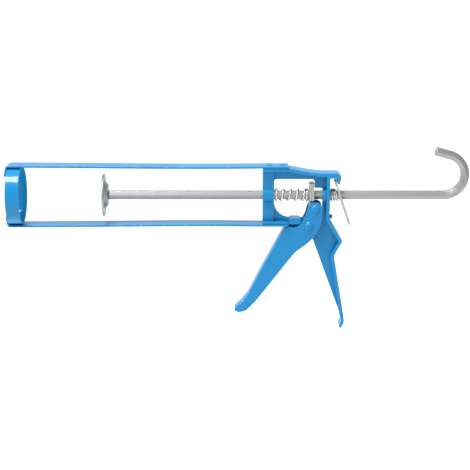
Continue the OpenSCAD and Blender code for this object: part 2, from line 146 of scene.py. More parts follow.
class GunMetalSettings(PropertyGroup):
    """The plated and drawn steel parts."""
    zinc: colour("Zinc", "Colour of the zinc plate", (0.36, 0.365, 0.355, 1.0))
    chromate: colour("Chromate", "Warm tint of the zinc plate", (0.385, 0.37, 0.315, 1.0))
    wire: colour("Wire", "Colour of the spring wire", (0.70, 0.68, 0.60, 1.0))
    rod: colour("Rod", "Colour of the drawn rod", (0.28, 0.283, 0.291, 1.0))
    roughness: share("Roughness", "Middle roughness of the metals", 0.34)
    scratch: length("Scratch depth", "Depth of the fine drawn lines", 0.000008)
    grain: colour("Grain", "Darkest tint of the zinc's crystals", (0.27, 0.27, 0.27, 1.0))
    stain: colour("Stain", "Dark tint of the rod's stains", (0.22, 0.22, 0.23, 1.0))
    line: colour("Drawn line", "Light tint of the rod's drawn lines", (0.40, 0.40, 0.41, 1.0))


class GunEdgeSettings(PropertyGroup):
    """How soft the pressed and sheared edges are."""
    press: length("Pressed bend", "Outer radius of the bend from flange to lip", 0.9 * MM)
    spine: length("Spine bend", "Outer radius of the bend along the trigger's spine", 1.7 * MM)
    sheared: length("Sheared edge", "Radius of a sheared edge", 0.18 * MM)
    strap: length("Strap edge", "Radius of the straps' edges", 0.5 * MM)
    ring: length("Ring rim", "Radius of the front ring's rims", 0.45 * MM)
    rivet: length("Rivet rim", "Height of the upright rim under a domed head", 0.15 * MM)


class GunSpringSettings(PropertyGroup):
    """The two coil springs."""
    wire: length("Wire", "Diameter of the spring wire", 1.5 * MM)
    drive_turns: FloatProperty(name="Drive turns", description="Open turns of the drive spring",
                               default=4.0, min=1.0)
    release_turns: FloatProperty(name="Release turns", description="Open turns of the release spring",
                                 default=1.5, min=0.5)
    steps: IntProperty(name="Steps", description="Points in one turn", default=40, min=12)


class GunRivetSettings(PropertyGroup):
    """The rivets and the trigger's two pins."""
    head_height: length("Strap rivet head", "Height of a strap rivet's domed head", 1.1 * MM)
    shank: length("Strap rivet", "Radius of a strap rivet's shank", 1.7 * MM)
    upset: length("Upset head", "Radius of a strap rivet's inner head", 2.5 * MM)
    upset_height: length("Upset height", "Height of a strap rivet's inner head", 1.1 * MM)
    pivot: length("Pivot rivet", "Radius of the pivot rivet's shank", 2.5 * MM)
    driver: length("Driver pin", "Radius of the driver pin's shank", 2.2 * MM)


class GunRodSettings(PropertyGroup):
    """The hexagonal rod, its hook and its turned neck."""
    hook_radius: length("Hook radius", "Radius of the pull hook at the rod's middle", 18.8 * MM)
    hook_turn: FloatProperty(name="Hook turn", description="Angle that the hook turns through",
                             default=math.radians(165), subtype="ANGLE")
    hook_end: length("Hook end", "Straight end of the hook", 13.5 * MM)
    corner: length("Corner", "How far the hexagon's corners are eased", 0.5 * MM)
    neck: length("Neck", "Radius of the turned neck inside the plunger", 3.0 * MM)
    neck_end: length("Neck end", "From the peened tip to the start of the hexagon", 4.05 * MM)


class GunPlungerSettings(PropertyGroup):
    """The pressed plunger disc."""
    sheet: length("Sheet", "Thickness of the disc's sheet", 1.0 * MM)
    hub_foot: length("Hub foot", "Radius of the coned hub at its foot", 13.25 * MM)
    crown: length("Crown", "Radius of the hub's flat top", 9.4 * MM)
    hole: length("Hole", "Radius of the hole for the rod's neck", 3.05 * MM)
    lip: length("Lip", "How far the disc's edge stands up behind it", 0.4 * MM)


class GunStageSettings(PropertyGroup):
    """Floor, lights and camera."""
    drop: length("Floor drop", "How far the floor lies below the gun", 0.32)
    distance: length("Camera distance", "From the camera to the middle of the gun", 1.196)
    lens: FloatProperty(name="Lens", description="Focal length in millimetres", default=99.6, min=10.0)
    elevation: FloatProperty(name="Elevation", description="Camera height above the horizon",
                             default=math.radians(13.6), subtype="ANGLE")
    aim_x: length("Aim X", "Where along the gun the camera aims", 0.2058)
    aim_drop: length("Aim drop", "How far below the rod the camera aims", 0.0377)
    glow: FloatProperty(name="Floor glow", description="How brightly the floor is lit from below",
                        default=0.36, min=0.0)
    world: FloatProperty(name="World", description="Strength of the even light", default=0.85, min=0.0)


# ---------------------------------------------------------------- node helper

class Value:
    """A socket in a node tree, so that sums and products of sockets read as sums and products."""

    def __init__(self, nodes, socket):
        self.nodes = nodes
        self.socket = socket

    def math(self, operation, *others):
        """This value and others through one Math node."""
        return self.nodes.add("ShaderNodeMath", {"operation": operation}, {
            i: v for i, v in enumerate((self, *others))})

    def __add__(self, other):
        return self.math("ADD", other)

    def __sub__(self, other):
        return self.math("SUBTRACT", other)

    def __rsub__(self, other):
        return self.nodes.add("ShaderNodeMath", {"operation": "SUBTRACT"}, {0: other, 1: self})

    def __mul__(self, other):
        return self.math("MULTIPLY", other)

    def __truediv__(self, other):
        return self.math("DIVIDE", other)

    __radd__ = __add__
    __rmul__ = __mul__

    def clamped(self, lo=0.0, hi=1.0):
        """This value held between two limits."""
        return self.math("MAXIMUM", lo).math("MINIMUM", hi)

    def ramp(self, lo, hi, out_lo=0.0, out_hi=1.0):
        """This value mapped smoothly from lo..hi to out_lo..out_hi."""
        return self.nodes.add("ShaderNodeMapRange", {"interpolation_type": "SMOOTHSTEP"}, {
            "Value": self, "From Min": lo, "From Max": hi, "To Min": out_lo, "To Max": out_hi})


class Nodes:
    """A node tree, shader or geometry, with one way to add any node."""

    def __init__(self, tree):
        self.tree = tree

    def add(self, kind, settings=None, sockets=None, output=0):
        """Adds a node: its settings first, then the values or links of its sockets. Gives one output."""
        node = self.tree.nodes.new(kind)
        for name, value in (settings or {}).items():
            setattr(node, name, value)
        for key, value in (sockets or {}).items():
            if isinstance(value, Value):
                self.tree.links.new(value.socket, node.inputs[key])
            else:
                node.inputs[key].default_value = value
        return Value(self, node.outputs[output]) if node.outputs else node

    def mix(self, factor, a, b):
        """Two colours mixed by a factor."""
        node = self.tree.nodes.new("ShaderNodeMix")
        node.data_type = "RGBA"
        sockets = {"A": a, "B": b}
        self.tree.links.new(factor.socket, node.inputs["Factor"])
        for socket in node.inputs:
            if socket.type != "RGBA":
                continue
            value = sockets[socket.name]
            if isinstance(value, Value):
                self.tree.links.new(value.socket, socket)
            else:
                socket.default_value = value
        return Value(self, next(o for o in node.outputs if o.type == "RGBA"))

    def noise(self, place, scale, detail=3.0, roughness=0.5):
        """Noise between 0 and 1 at a place."""
        return self.add("ShaderNodeTexNoise", {"noise_dimensions": "3D"}, {
            "Vector": place, "Scale": scale, "Detail": detail, "Roughness": roughness})

    def placed(self, place, scale):
        """A place stretched by a scale along each axis."""
        return self.add("ShaderNodeMapping", {"vector_type": "POINT"}, {"Vector": place, "Scale": scale})

    def bump(self, height, distance, strength=1.0):
        """A normal from a height."""
        return self.add("ShaderNodeBump", {}, {
            "Height": height, "Distance": distance, "Strength": strength})


def material(name, fixed, varying):
    """A Principled material. fixed holds plain socket values, and varying(nodes) gives linked ones."""
    made = bpy.data.materials.new(name)
    made.use_nodes = True
    tree = made.node_tree
    shader = tree.nodes["Principled BSDF"]
    for socket, value in fixed.items():
        shader.inputs[socket].default_value = value
    for socket, value in varying(Nodes(tree)).items():
        tree.links.new(value.socket, shader.inputs[socket])
    return made


# ------------------------------------------------------------------ materials

def object_place(nodes):
    """The piece's own coordinates, in metres."""
    return nodes.add("ShaderNodeTexCoord", output="Object")


def gloss_paint():
    """Gloss paint over pressed steel: fine waves, slow colour drift, thin lighter edges and faint rubs."""
    paint = bpy.context.scene.gun_paint

    def varying(nodes):
        place = object_place(nodes)
        drift = nodes.noise(place, 24.0, 3.0).ramp(0.3, 0.7)
        body = nodes.mix(drift * 0.35, tuple(paint.body), tuple(paint.shade))
        plain = nodes.add("ShaderNodeNewGeometry", output="Normal")
        eased = nodes.add("ShaderNodeBevel", {"samples": 6}, {"Radius": 0.7 * MM})
        turn = nodes.add("ShaderNodeVectorMath", {"operation": "DOT_PRODUCT"}, {0: plain, 1: eased},
                         output="Value")
        blotch = nodes.noise(place, 160.0, 4.0).ramp(0.35, 0.65, 0.25, 1.0)
        worn = (1.0 - turn).ramp(0.02, 0.16) * blotch
        colour_out = nodes.mix(worn * 0.75, body, tuple(paint.thin))
        peel = nodes.noise(place, 620.0, 2.0)
        rubs = nodes.noise(nodes.placed(place, (60.0, 700.0, 420.0)), 1.0, 4.0, 0.6).ramp(0.58, 0.8)
        rough = paint.roughness + rubs * 0.16 + drift * 0.05 + worn * 0.08
        return {
            "Base Color": colour_out,
            "Roughness": rough.clamped(0.05, 0.9),
            "Normal": nodes.bump(peel, paint.peel),
        }

    return material("gloss_blue_paint", {
        "Coat Weight": 0.35, "Coat Roughness": 0.07, "Coat IOR": 1.5, "Specular IOR Level": 0.1}, varying)


def zinc_plate():
    """Bright zinc plate: a faint crystal mottle, a warm chromate tint and fine scratches."""
    metal = bpy.context.scene.gun_metal

    def varying(nodes):
        place = object_place(nodes)
        crystal = nodes.add("ShaderNodeTexVoronoi", {"feature": "F1"}, {
            "Vector": place, "Scale": 420.0, "Randomness": 1.0}, output="Color")
        grey = nodes.add("ShaderNodeSeparateColor", {}, {0: crystal})
        warm = nodes.noise(place, 55.0, 3.0).ramp(0.35, 0.7)
        base = nodes.mix(warm * 0.7, tuple(metal.zinc), tuple(metal.chromate))
        marked = nodes.mix(grey * 0.22, base, tuple(metal.grain))
        lines = nodes.noise(nodes.placed(place, (900.0, 900.0, 130.0)), 1.0, 5.0, 0.7)
        rough = metal.roughness + grey * 0.08 + lines.ramp(0.4, 0.75) * 0.14
        return {
            "Base Color": marked,
            "Roughness": rough.clamped(0.12, 0.8),
            "Normal": nodes.bump(lines, metal.scratch),
        }

    return material("zinc_plate", {"Metallic": 1.0}, varying)


def spring_steel():
    """Plated spring wire: bright, a little warm, with light drawing marks."""
    metal = bpy.context.scene.gun_metal

    def varying(nodes):
        place = object_place(nodes)
        warm = nodes.noise(place, 260.0, 3.0).ramp(0.3, 0.75)
        base = nodes.mix(warm * 0.5, tuple(metal.wire), tuple(metal.zinc))
        marks = nodes.noise(place, 1800.0, 3.0)
        return {
            "Base Color": base,
            "Roughness": (marks * 0.2 + 0.2).clamped(0.1, 0.7),
            "Normal": nodes.bump(marks, metal.scratch),
        }

    return material("spring_wire", {"Metallic": 1.0}, varying)


def drawn_steel():
    """Drawn bar: fine lines that follow the bar, also round the hook, on the piece's own UV map."""
    metal = bpy.context.scene.gun_metal

    def varying(nodes):
        along = nodes.add("ShaderNodeUVMap", {"uv_map": "along_bar"})
        lines = nodes.noise(nodes.placed(along, (0.9, 240.0, 1.0)), 1.0, 5.0, 0.65)
        stain = nodes.noise(nodes.placed(along, (9.0, 6.0, 1.0)), 1.0, 4.0).ramp(0.35, 0.75)
        base = nodes.mix(stain * 0.4, tuple(metal.rod), tuple(metal.stain))
        streaked = nodes.mix(lines.ramp(0.45, 0.8) * 0.3, base, tuple(metal.line))
        rough = metal.roughness + stain * 0.07 + lines.ramp(0.35, 0.7) * 0.1
        return {
            "Base Color": streaked,
            "Roughness": rough.clamped(0.12, 0.8),
            "Normal": nodes.bump(lines, metal.scratch),
        }

    return material("drawn_bar_steel", {"Metallic": 1.0}, varying)


MAKERS = {
    "blue_paint": gloss_paint,
    "zinc_plate": zinc_plate,
    "spring_wire": spring_steel,
    "rod_steel": drawn_steel,
}
finishes = {}


def finish_for(slot):
    """The material of a record slot, made once."""
    if slot not in finishes:
        finishes[slot] = MAKERS[slot]()
    return finishes[slot]


# --------------------------------------------------------------- mesh helpers

SMOOTH_LIMIT = math.radians(32)
FLAT_LIMIT = math.radians(0.1)
SHARP_EDGE = math.radians(30)
CAD_WELD = 2e-6         # points of a CAD mesh nearer than this are one point
WELD = 1e-6             # the same after a bevel
FINE_WELD = 1e-7        # the same in a mesh turned here
ON_FACE = 0.02 * MM     # how near an edge lies to the face that it belongs to


def piece_from(name, bm, finish):
    """A new piece from a bmesh, smooth between its sharp edges and with weighted normals."""
    mesh = bpy.data.meshes.new(name)
    bm.to_mesh(mesh)
    bm.free()
    mesh.materials.append(finish)
    mesh.shade_smooth()
    mesh.set_sharp_from_angle(angle=SMOOTH_LIMIT)
    piece = bpy.data.objects.new(name, mesh)
    bpy.context.scene.collection.objects.link(piece)
    weigh = piece.modifiers.new("weigh", "WEIGHTED_NORMAL")
    weigh.keep_sharp = True
    return bake(piece)


def bake(piece):
    """Turns a piece's modifiers into plain mesh."""
    graph = bpy.context.evaluated_depsgraph_get()
    done = bpy.data.meshes.new_from_object(piece.evaluated_get(graph))
    done.name = piece.name
    piece.modifiers.clear()
    piece.data = done
    return piece


def settle(piece, node):
    """Lets a finished piece stand for a CAD node and ride on its body."""
    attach(piece, body_holding(node))
    slot_of(node)
    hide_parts(node)


def copy_of(node):
    """A CAD node's shape as a clean bmesh: doubles merged and flat faces joined."""
    bm = bmesh.new()
    bm.from_mesh(frame["nodes"][node].data)
    bmesh.ops.remove_doubles(bm, verts=bm.verts, dist=CAD_WELD)
    bmesh.ops.dissolve_degenerate(bm, edges=bm.edges, dist=CAD_WELD)
    bmesh.ops.dissolve_limit(bm, angle_limit=FLAT_LIMIT, verts=bm.verts, edges=bm.edges)
    return bm


def faces_y(face):
    """Whether a face looks along the Y axis."""
    return abs(face.normal.y) > 0.99


def y_extent(face):
    """How far a face reaches along Y."""
    ys = [v.co.y for v in face.verts]
    return max(ys) - min(ys)


def bend_edges(bm, reach, tall):
    """Edges at |y| = reach between a face along Y and a side face that is at least tall along Y."""
    found = []
    for edge in bm.edges:
        if len(edge.link_faces) != 2 or any(abs(abs(v.co.y) - reach) > ON_FACE for v in edge.verts):
            continue
        a, b = edge.link_faces
        if faces_y(a) != faces_y(b):
            side = b if faces_y(a) else a
            if y_extent(side) > tall:
                found.append(edge)
    return found


def round_edges(bm, edges, radius, segments):
    """Rounds edges with a bevel, then clears what shrank to nothing."""
    bmesh.ops.bevel(bm, geom=edges, offset=radius, offset_type="OFFSET", segments=segments, profile=0.5,
                    affect="EDGES", clamp_overlap=False)
    bmesh.ops.remove_doubles(bm, verts=bm.verts, dist=WELD)
    bmesh.ops.dissolve_degenerate(bm, edges=bm.edges, dist=WELD)


def sharp_edges(bm):
    """Edges that stand out, where no inner corner meets them."""
    turn = {e: e.calc_face_angle_signed(0.0) for e in bm.edges if len(e.link_faces) == 2}
    inner = {v for e, a in turn.items() if a < -SHARP_EDGE for v in e.verts}
    return [e for e, a in turn.items() if a > SHARP_EDGE and not inner.intersection(e.verts)]


def sheared(node, radius, segments=2):
    """A copy of a CAD node with all its outer edges rounded a little."""
    bm = copy_of(node)
    round_edges(bm, sharp_edges(bm), radius, segments)
    return piece_from(node + "_piece", bm, finish_for(slot_of(node)))


def turned_on(axis, profile, steps, name, finish):
    """A closed profile of (along, out) points turned round an axis through the origin."""
    axis = Vector(axis).normalized()
    side = axis.orthogonal().normalized()
    up = axis.cross(side)
    bm = bmesh.new()
    rings = []
    for k in range(steps):
        turn = 2 * math.pi * k / steps
        out = side * math.cos(turn) + up * math.sin(turn)
        rings.append([bm.verts.new(axis * a + out * r) for a, r in profile])
    for k in range(steps):
        here, there = rings[k], rings[(k + 1) % steps]
        for i in range(len(profile)):
            j = (i + 1) % len(profile)
            bm.faces.new((here[i], here[j], there[j], there[i]))
    bmesh.ops.remove_doubles(bm, verts=bm.verts, dist=FINE_WELD)
    bmesh.ops.dissolve_degenerate(bm, edges=bm.edges, dist=FINE_WELD)
    bmesh.ops.recalc_face_normals(bm, faces=bm.faces)
    return piece_from(name, bm, finish)


ARC_STEPS = 6


def eased(corners):
    """A closed outline of (x, y, radius) corners with each corner rounded."""
    points = []
    for i, (x, y, radius) in enumerate(corners):
        if radius == 0:
            points.append((x, y))
            continue
        here = Vector((x, y))
        back = Vector(corners[i - 1][:2]) - here
        ahead = Vector(corners[(i + 1) % len(corners)][:2]) - here
        half = back.angle(ahead) / 2
        cut = min(radius / math.tan(half), 0.49 * back.length, 0.49 * ahead.length)
        start = here + back.normalized() * cut
        end = here + ahead.normalized() * cut
        for k in range(ARC_STEPS + 1):
            t = k / ARC_STEPS
            point = start * (1 - t) ** 2 + here * 2 * t * (1 - t) + end * t * t
            points.append((point.x, point.y))
    return points


# -------------------------------------------------------------- pressed steel

def make_pressed_half(node):
    """One half of the handle frame, with a wide bend where its flange turns into the lip."""
    edge = bpy.context.scene.gun_edges
    bm = copy_of(node)
    reach = max(abs(low(node).y), abs(high(node).y))
    flange_at_least = 0.5 * reach
    round_edges(bm, bend_edges(bm, reach, flange_at_least), edge.press, 4)
    round_edges(bm, sharp_edges(bm), edge.sheared, 2)
    return piece_from(node + "_piece", bm, finish_for(slot_of(node)))


def make_trigger():
    """The trigger's channel with a wide bend along both sides of its spine."""
    edge = bpy.context.scene.gun_edges
    node = "trigger"
    bm = copy_of(node)
    reach = high(node).y
    spine_at_least = 1.2 * reach
    round_edges(bm, bend_edges(bm, reach, spine_at_least), edge.spine, 6)
    round_edges(bm, sharp_edges(bm), edge.sheared, 2)
    return piece_from(node + "_piece", bm, finish_for(slot_of(node)))


def make_ring():
    """The front ring as a rolled band with eased rims, round the cartridge's bore."""
    node = "nose_ring"
    x0, x1 = low(node).x, high(node).x
    outer = span(node).z / 2
    bore = next(m["dims"]["r_mm"] for m in frame["record"]["mounts"] if m["kind"] == "bore") * MM
    rim = bpy.context.scene.gun_edges.ring
    profile = eased([(x0, bore, rim), (x1, bore, rim), (x1, outer, rim), (x0, outer, rim)])
    return turned_on((1, 0, 0), profile, 160, "nose_ring_band", finish_for(slot_of(node)))


# ----------------------------------------------------------- geometry nodes

def new_tree(name, inputs):
    """An empty geometry tree with named inputs. Gives the helper and the inputs' values by name."""
    tree = bpy.data.node_groups.new(name, "GeometryNodeTree")
    tree.interface.new_socket("Geometry", in_out="INPUT", socket_type="NodeSocketGeometry")
    for label, kind in inputs:
        tree.interface.new_socket(label, in_out="INPUT", socket_type=kind)
    tree.interface.new_socket("Geometry", in_out="OUTPUT", socket_type="NodeSocketGeometry")
    nodes = Nodes(tree)
    source = tree.nodes.new("NodeGroupInput")
    values = {s.name: Value(nodes, s) for s in source.outputs if s.name}
    return nodes, values


def close_tree(nodes, shape, finish):
    """Ends a tree: instances made real, the finish set, and the result put out."""
    real = nodes.add("GeometryNodeRealizeInstances", {}, {"Geometry": shape})
    painted = nodes.add("GeometryNodeSetMaterial", {}, {"Geometry": real, "Material": finish})
    out = nodes.tree.nodes.new("NodeGroupOutput")
    nodes.tree.links.new(painted.socket, out.inputs[0])
    return nodes.tree


def grown(name, start_mesh, tree, values):
    """Runs a geometry tree on a mesh and gives the plain result."""
    piece = bpy.data.objects.new(name, start_mesh)
    bpy.context.scene.collection.objects.link(piece)
    grow = piece.modifiers.new("grow", "NODES")
    grow.node_group = tree
    sockets = {s.name: s.identifier for s in tree.interface.items_tree if s.in_out == "INPUT"}
    for label, value in values.items():
        grow[sockets[label]] = value
    piece.update_tag()
    bpy.context.view_layer.update()
    bake(piece)
    piece.data.name = name
    return piece


def coil_tree():
    """A tree that winds a spring along X: closed turns at both ends, open turns between them.
    The far end can lean, to lie flat on a leaning plate."""
    nodes, given = new_tree("wind_spring", [
        ("Start", "NodeSocketFloat"), ("Length", "NodeSocketFloat"), ("Coil Radius", "NodeSocketFloat"),
        ("Wire Radius", "NodeSocketFloat"), ("Open Turns", "NodeSocketFloat"),
        ("Closed Near", "NodeSocketFloat"), ("Closed Far", "NodeSocketFloat"), ("Lean", "NodeSocketFloat"),
        ("Steps", "NodeSocketInt"), ("Finish", "NodeSocketMaterial")])
    turns = given["Open Turns"] + given["Closed Near"] + given["Closed Far"]
    count = (turns * given["Steps"]).math("CEIL")
    line = nodes.add("GeometryNodeMeshLine", {}, {"Count": count})
    turn = nodes.add("GeometryNodeInputIndex") / (count - 1.0) * turns
    wire = given["Wire Radius"]
    tight = wire * 2.04
    room = given["Length"] - wire * 2.0
    closed = given["Closed Near"] + given["Closed Far"]
    pitch = (room - tight * closed) / given["Open Turns"]
    near = turn.math("MINIMUM", given["Closed Near"])
    open_part = (turn - given["Closed Near"]).math("MAXIMUM", 0.0).math("MINIMUM", given["Open Turns"])
    far = (turn - given["Closed Near"] - given["Open Turns"]).math("MAXIMUM", 0.0)
    travel = tight * near + pitch * open_part + tight * far
    angle = turn * (2 * math.pi)
    side = angle.math("SINE") * given["Coil Radius"]
    up = angle.math("COSINE") * given["Coil Radius"]
    along = given["Start"] + wire + travel * (1.0 - given["Lean"] * up / room)
    place = nodes.add("ShaderNodeCombineXYZ", {}, {"X": along, "Y": side, "Z": up})
    wound = nodes.add("GeometryNodeSetPosition", {}, {"Geometry": line, "Position": place})
    curve = nodes.add("GeometryNodeMeshToCurve", {}, {"Mesh": wound})
    section = nodes.add("GeometryNodeCurvePrimitiveCircle", {}, {"Resolution": 12, "Radius": wire})
    tube = nodes.add("GeometryNodeCurveToMesh", {}, {
        "Curve": curve, "Profile Curve": section, "Fill Caps": True})
    smooth = nodes.add("GeometryNodeSetShadeSmooth", {}, {"Geometry": tube})
    return close_tree(nodes, smooth, given["Finish"])


def rivet_tree():
    """A tree that sets a rivet on each point and turns it to that point's aim."""
    nodes, given = new_tree("set_rivets", [("Rivet", "NodeSocketObject"), ("Finish", "NodeSocketMaterial")])
    rivet = nodes.add("GeometryNodeObjectInfo", {"transform_space": "ORIGINAL"}, {"Object": given["Rivet"]},
                      output="Geometry")
    aim = nodes.add("GeometryNodeInputNamedAttribute", {"data_type": "FLOAT_VECTOR"}, {"Name": "aim"})
    turn = nodes.add("FunctionNodeAlignRotationToVector", {"axis": "Z"}, {"Vector": aim})
    placed = nodes.add("GeometryNodeInstanceOnPoints", {}, {
        "Points": given["Geometry"], "Instance": rivet, "Rotation": turn})
    return close_tree(nodes, placed, given["Finish"])


DOME_STEPS = 10


def dome_profile(foot, radius, height, rim):
    """Half the outline of a low dome, from its rim to its crown, as (along, out) points."""
    ball = (radius * radius + (height - rim) ** 2) / (2 * (height - rim))
    reach = math.asin(radius / ball)
    points = [(foot, radius)]
    for k in range(DOME_STEPS + 1):
        turn = reach * (1 - k / DOME_STEPS)
        points.append((foot + height - ball * (1 - math.cos(turn)), ball * math.sin(turn)))
    return points


def rivets_on(node, profile, places):
    """One rivet, turned from half its outline and set at every (place, aim), for a CAD node."""
    finish = finish_for(slot_of(node))
    pattern = turned_on((0, 0, 1), profile, 64, node + "_pattern", finish)
    mesh = bpy.data.meshes.new(node)
    mesh.from_pydata([place for place, _ in places], [], [])
    aims = mesh.attributes.new("aim", "FLOAT_VECTOR", "POINT")
    for i, (_, aim) in enumerate(places):
        aims.data[i].vector = aim
    piece = grown(node + "_set", mesh, rivet_tree(), {"Rivet": pattern, "Finish": finish})
    bpy.data.objects.remove(pattern)
    settle(piece, node)


# ------------------------------------------------------------------ operators

class GUN_OT_frame(Operator):
    """Finishes the two pressed halves of the handle frame"""
    bl_idname = "caulk_gun.frame"
    bl_label = "Handle frame"

    def execute(self, context):
        for node in ("frame_half_left", "frame_half_right"):
            settle(make_pressed_half(node), node)
        return {"FINISHED"}


class GUN_OT_cradle(Operator):
    """Finishes the front ring and the two straps"""
    bl_idname = "caulk_gun.cradle"
    bl_label = "Ring and straps"

    def execute(self, context):
        settle(make_ring(), "nose_ring")
        for node in ("top_rail", "bottom_rail"):
            settle(sheared(node, context.scene.gun_edges.strap, 3), node)
        return {"FINISHED"}


class GUN_OT_trigger(Operator):
    """Finishes the trigger's pressed channel"""
    bl_idname = "caulk_gun.trigger"
    bl_label = "Trigger"

    def execute(self, context):
        settle(make_trigger(), "trigger")
        return {"FINISHED"}


class GUN_OT_plates(Operator):
    """Finishes the drive plates, the release lever, the stop peg, the spacers, the roller and the washer"""
    bl_idname = "caulk_gun.plates"
    bl_label = "Plates and small parts"

    def execute(self, context):
        edge = context.scene.gun_edges.sheared
        for node in ("drive_plate_front", "drive_plate_rear", "release_lever", "stop_peg", "pivot_spacers",
                     "driver_roller", "rod_end_washer"):
            settle(sheared(node, edge), node)
        return {"FINISHED"}


class GUN_OT_rivets(Operator):
    """Sets the rivets of the straps and the domed pins of the trigger"""
    bl_idname = "caulk_gun.rivets"
    bl_label = "Rivets and pins"

    def execute(self, context):
        rivet = context.scene.gun_rivets
        for node, aim in (("top_rail_rivets", 1), ("bottom_rail_rivets", -1)):
            lo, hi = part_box(node)
            strap = (hi.z if aim > 0 else -lo.z) - rivet.head_height
            head = span(node).y / 2
            dome = dome_profile(0.0, head, rivet.head_height, context.scene.gun_edges.rivet)
            foot = rivet.head_height - span(node).z
            neck = foot + rivet.upset_height
            profile = [(foot, 0.0), (foot, rivet.upset), (neck, rivet.upset), (neck, rivet.shank),
                       (0.0, rivet.shank), *dome]
            rivets_on(node, profile, [((x, 0.0, aim * strap), (0.0, 0.0, aim))
                                      for x in (lo.x + head, hi.x - head)])
        half = high("trigger").y
        for node, shank in (("trigger_pivot_rivet", rivet.pivot), ("driver_pin", rivet.driver)):
            lo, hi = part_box(node)
            dome = dome_profile(half, span(node).x / 2, hi.y - half, context.scene.gun_edges.rivet)
            far_dome = [(-along, out) for along, out in reversed(dome)]
            profile = [*far_dome, (-half, shank), (half, shank), *dome]
            rivets_on(node, profile, [((middle(node).x, 0.0, middle(node).z), (0.0, 1.0, 0.0))])
        return {"FINISHED"}


LEVER_SLOPE = math.tan(math.radians(18.5))


class GUN_OT_springs(Operator):
    """Winds the drive spring and the release spring"""
    bl_idname = "caulk_gun.springs"
    bl_label = "Springs"

    def execute(self, context):
        spring = context.scene.gun_springs
        tree = coil_tree()
        # node, joint, open turns, closed turns at both ends, the far end's slope, length kept when pressed
        jobs = (
            ("drive_spring", "trigger_pull", spring.drive_turns, 1.0, 1.5, 0.0, 0.645),
            ("release_spring", "release_press", spring.release_turns, 0.75, 0.75, LEVER_SLOPE, 0.52),
        )
        for node, joint, turns, near, far, lean, keep in jobs:
            outer = span(node).z / 2
            lean_reach = lean * (outer - spring.wire / 2)
            coil = grown(node + "_coil", bpy.data.meshes.new(node), tree, {
                "Start": low(node).x, "Length": span(node).x - lean_reach,
                "Coil Radius": outer - spring.wire / 2, "Wire Radius": spring.wire / 2,
                "Open Turns": turns, "Closed Near": near, "Closed Far": far, "Lean": lean,
                "Steps": spring.steps, "Finish": finish_for(slot_of(node))})
            settle(coil, node)
            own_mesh(coil)
        return {"FINISHED"}


class GUN_OT_rod(Operator):
    """Draws the hexagonal rod with its hook and peened front end"""
    bl_idname = "caulk_gun.rod"
    bl_label = "Rod"

    def execute(self, context):
        settle(make_rod(), "push_rod")
        return {"FINISHED"}


class GUN_OT_plunger(Operator):
    """Presses the plunger disc with its coned hub"""
    bl_idname = "caulk_gun.plunger"
    bl_label = "Plunger"

    def execute(self, context):
        settle(make_plunger(), "plunger_disc")
        return {"FINISHED"}


class GUN_OT_stage(Operator):
    """Lays the floor and sets the lights and the camera"""
    bl_idname = "caulk_gun.stage"
    bl_label = "Stage"

    def execute(self, context):
        make_floor(context)
        make_lights(context)
        make_camera(context)
        return {"FINISHED"}


# ------------------------------------------------------------- rod and plunger

BAR_STEPS = 60
HOOK_STEPS = 44
NECK_STEPS = 36
END_CHAMFER = (0.4 * MM, 0.5 * MM)      # at the hexagon's start and at the hook's tip
END_SHARE = 0.9                         # the chamfered ends' width
CORNER_SHARE = 0.985                    # how far out the middle of an eased corner lies
EASE_SHARE = 0.1                        # how much further in it lies for each length of ease


def hexagon(corner, ease):
    """A hexagon's outline with every corner eased by three points."""
    tips = [Vector((math.cos(turn), math.sin(turn))) * corner
            for turn in (math.radians(60 * k) for k in range(6))]
    outline = []
    middle_share = CORNER_SHARE * (1 - EASE_SHARE * ease / corner)
    for k, tip in enumerate(tips):
        before = (tips[k - 1] - tip).normalized() * ease
        after = (tips[(k + 1) % len(tips)] - tip).normalized() * ease
        outline += [tip + before, tip * middle_share, tip + after]
    return outline


def rod_path(start, bend_x, rod):
    """Points (x, z, heading) along the rod: straight to the bend, round the hook and along its end."""
    first = start + END_CHAMFER[0]
    path = [(start, 0.0, 0.0), (first, 0.0, 0.0)]
    path += [(first + (bend_x - first) * k / BAR_STEPS, 0.0, 0.0) for k in range(1, BAR_STEPS + 1)]
    radius = rod.hook_radius
    for k in range(1, HOOK_STEPS + 1):
        turn = rod.hook_turn * k / HOOK_STEPS
        path.append((bend_x + radius * math.sin(turn), radius * (1 - math.cos(turn)), turn))
    tip_x, tip_z, heading = path[-1]
    for away in (rod.hook_end - END_CHAMFER[1], rod.hook_end):
        path.append((tip_x + away * math.cos(heading), tip_z + away * math.sin(heading), heading))
    return path


def carry(bm, path, outline, corner):
    """Carries an outline along a path, with a UV map that runs along it."""
    uv = bm.loops.layers.uv.new("along_bar")
    rings = []
    lengths = []
    run = 0.0
    for i, (x, z, heading) in enumerate(path):
        if i:
            run += math.hypot(x - path[i - 1][0], z - path[i - 1][1])
        lengths.append(run)
        share_of = END_SHARE if i in (0, len(path) - 1) else 1.0
        out = Vector((-math.sin(heading), 0, math.cos(heading)))
        rings.append([bm.verts.new(Vector((x, p.x * share_of, z)) + out * p.y * share_of)
                      for p in outline])
    around = len(outline)
    for i in range(len(rings) - 1):
        for k in range(around):
            j = (k + 1) % around
            face = bm.faces.new((rings[i][k], rings[i + 1][k], rings[i + 1][j], rings[i][j]))
            marks = ((lengths[i], k), (lengths[i + 1], k), (lengths[i + 1], k + 1), (lengths[i], k + 1))
            for loop, (along, side) in zip(face.loops, marks):
                loop[uv].uv = (along / corner, side / around)
    for ring in (rings[0], rings[-1]):
        bm.faces.new(ring)


